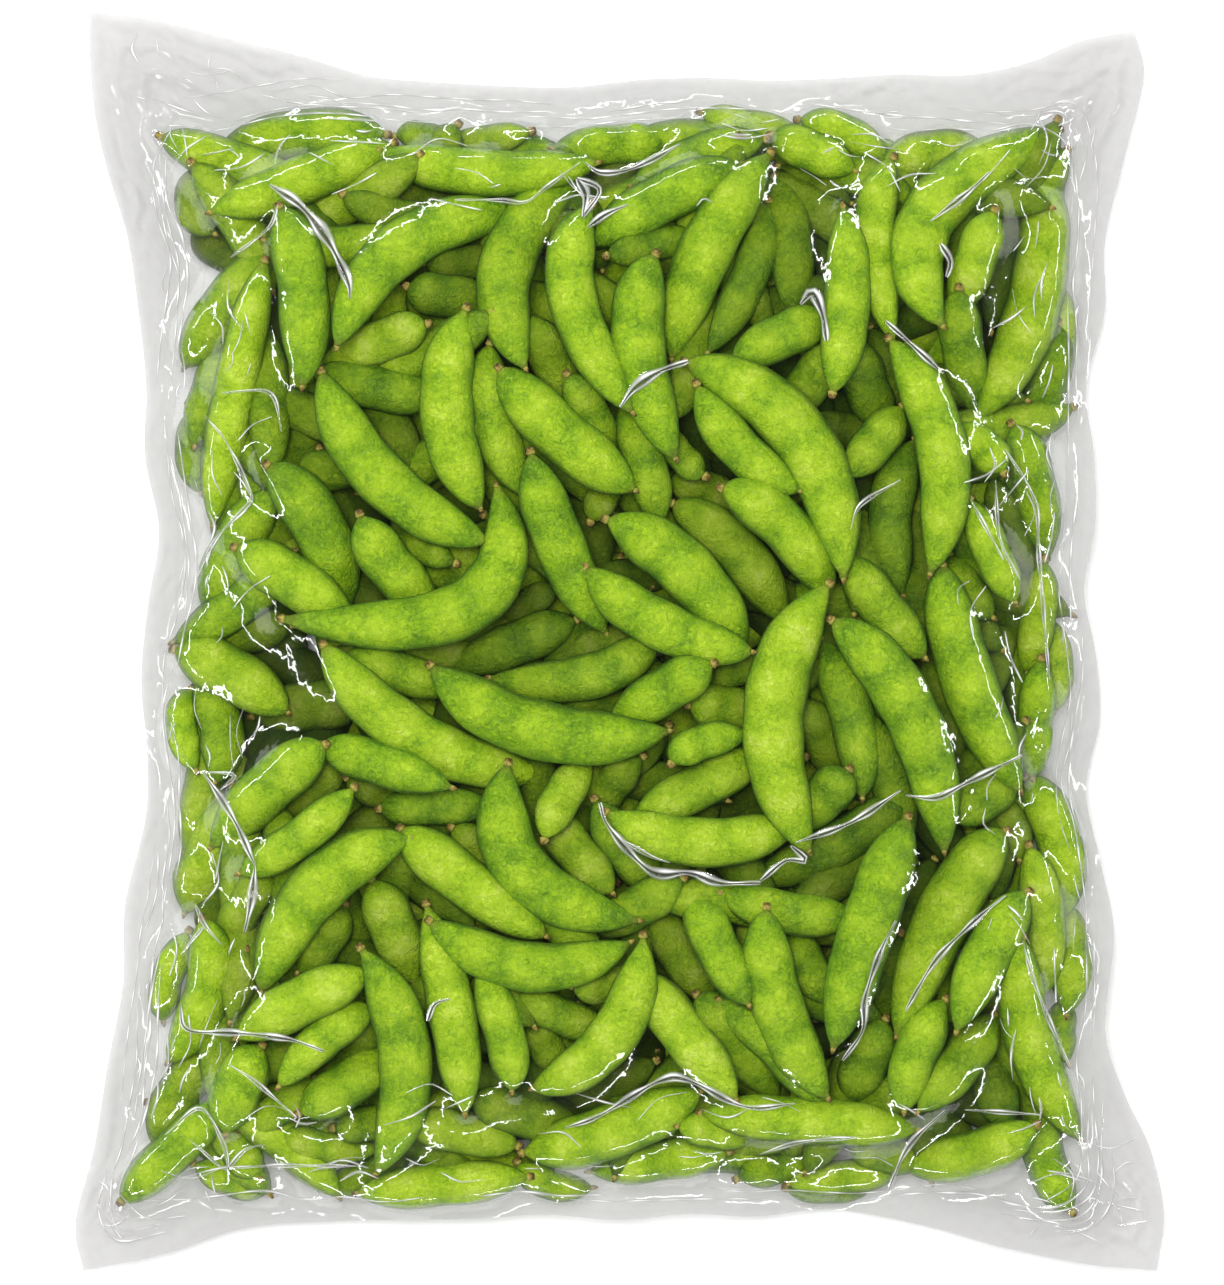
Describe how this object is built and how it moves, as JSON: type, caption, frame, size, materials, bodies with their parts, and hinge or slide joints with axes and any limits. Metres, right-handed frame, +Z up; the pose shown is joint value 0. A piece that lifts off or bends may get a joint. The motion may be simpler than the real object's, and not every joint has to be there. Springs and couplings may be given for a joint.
{
  "type": "vacuum-packed edamame pods",
  "caption": "Clear flat pouch of green edamame pods, two films welded round the edge and pulled tight over the heaped pods.",
  "frame": {"origin": "middle of the pouch's underside, on the table", "axes": "+Z up out of the front film, +Y towards the top edge of the pouch along its length, +X across it to the right"},
  "size_m": [0.2842, 0.329, 0.0326],
  "materials": {
    "film": "thin clear nylon and polyethylene film, glossy, faintly milky in the welded margin",
    "pod_skin": "fresh green pod skin, satin, finely mottled and lightly veined"
  },
  "bodies": {
    "root": {"back_film": "film", "front_film": "film", "pods_01": "pod_skin", "pods_02": "pod_skin", "pods_03": "pod_skin", "pods_04": "pod_skin", "pods_05": "pod_skin", "pods_06": "pod_skin", "pods_07": "pod_skin", "pods_08": "pod_skin", "pods_09": "pod_skin", "pods_10": "pod_skin", "pods_11": "pod_skin", "pods_12": "pod_skin", "pods_13": "pod_skin", "pods_14": "pod_skin", "pods_15": "pod_skin", "pods_16": "pod_skin", "pods_17": "pod_skin", "pods_18": "pod_skin", "pods_19": "pod_skin", "pods_20": "pod_skin", "pods_21": "pod_skin", "pods_22": "pod_skin", "pods_23": "pod_skin", "pods_24": "pod_skin", "pods_25": "pod_skin", "pods_26": "pod_skin", "pods_27": "pod_skin", "pods_28": "pod_skin", "pods_29": "pod_skin", "pods_30": "pod_skin", "pods_31": "pod_skin", "pods_32": "pod_skin", "pods_33": "pod_skin", "pods_34": "pod_skin", "pods_35": "pod_skin", "pods_36": "pod_skin", "pods_37": "pod_skin", "pods_38": "pod_skin", "pods_39": "pod_skin", "pods_40": "pod_skin", "pods_41": "pod_skin", "pods_42": "pod_skin", "pods_43": "pod_skin", "pods_44": "pod_skin", "pods_45": "pod_skin", "pods_46": "pod_skin", "pods_47": "pod_skin", "pods_48": "pod_skin", "pods_49": "pod_skin", "pods_50": "pod_skin", "pods_51": "pod_skin", "pods_52": "pod_skin", "pods_53": "pod_skin", "pods_54": "pod_skin", "pods_55": "pod_skin", "pods_56": "pod_skin", "pods_57": "pod_skin", "pods_58": "pod_skin"}
  },
  "joints": []
}
